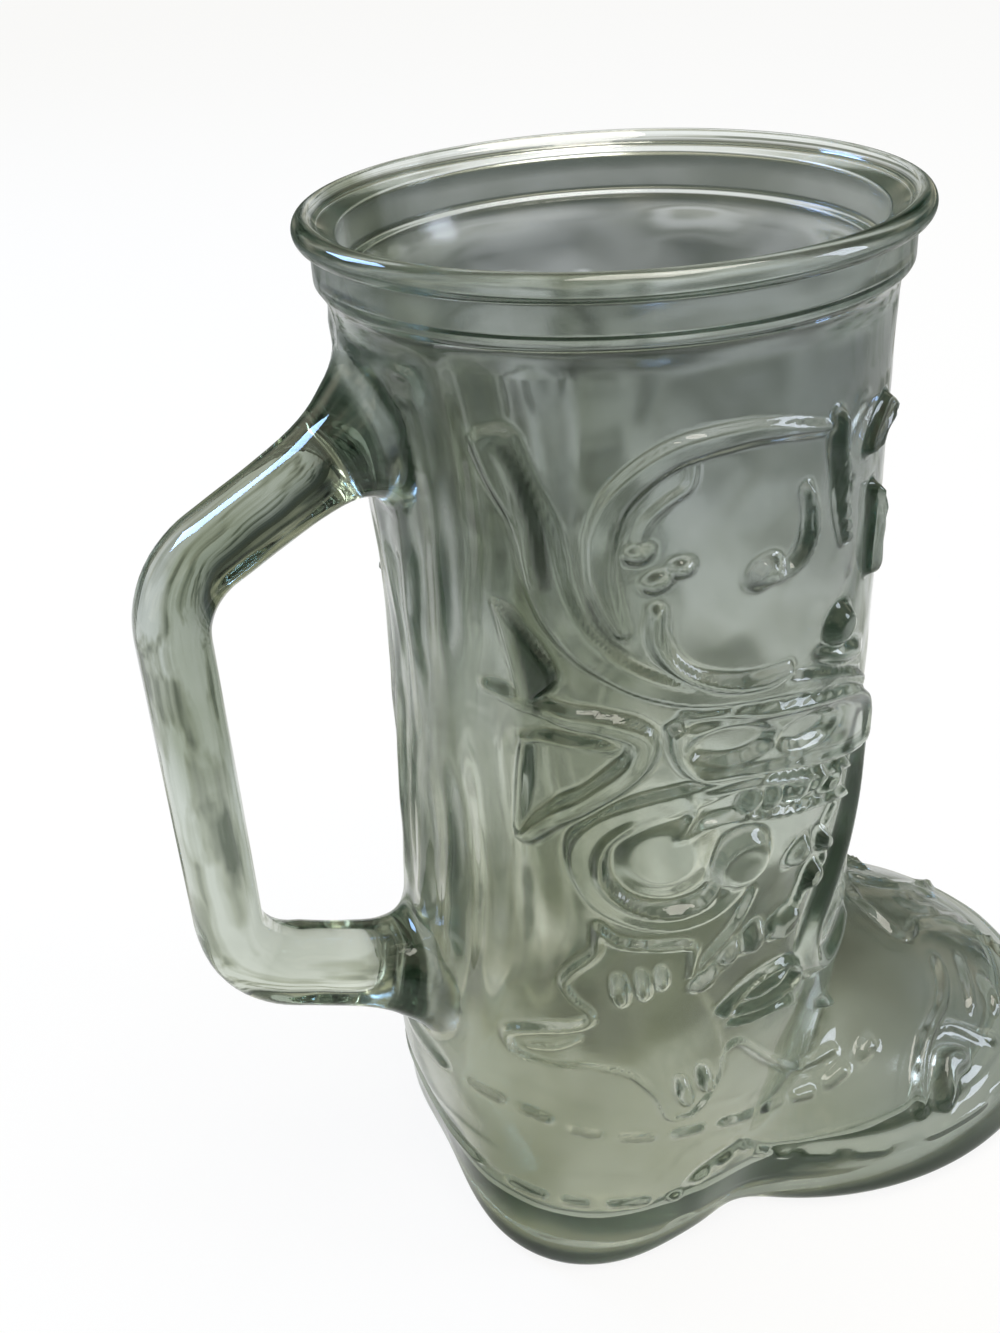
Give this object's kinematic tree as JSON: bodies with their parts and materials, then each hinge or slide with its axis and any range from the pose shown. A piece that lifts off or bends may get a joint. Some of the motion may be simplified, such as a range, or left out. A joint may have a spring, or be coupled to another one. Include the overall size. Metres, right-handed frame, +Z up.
{
  "type": "beer boot glass",
  "caption": "Thick pressed glass drinking mug in the form of a western riding boot, with scroll relief, a beaded mouth and an angular side handle.",
  "frame": {"origin": "on the floor plane under the middle of the glass's overall length and width; the mouth's axis stands 6.15 mm behind it", "axes": "+X from the handle to the toe, +Y to the boot's left side, +Z up through the mouth"},
  "size_m": [0.1487, 0.0814, 0.156],
  "materials": {
    "pressed_glass": "fire-polished pressed soda-lime glass, clear with a faint grey-green tint"
  },
  "bodies": {
    "root": {"mouth_rim": "pressed_glass", "collar_band": "pressed_glass", "leg_wall": "pressed_glass", "foot_shell": "pressed_glass", "sole_plate": "pressed_glass", "handle": "pressed_glass", "collar_stitches": "pressed_glass", "scroll_right": "pressed_glass", "scroll_left": "pressed_glass", "strap_right": "pressed_glass", "strap_left": "pressed_glass", "spiral_right": "pressed_glass", "spiral_left": "pressed_glass", "spur_plate_right": "pressed_glass", "spur_plate_left": "pressed_glass", "heel_stitches": "pressed_glass", "toe_trim": "pressed_glass"}
  },
  "joints": []
}
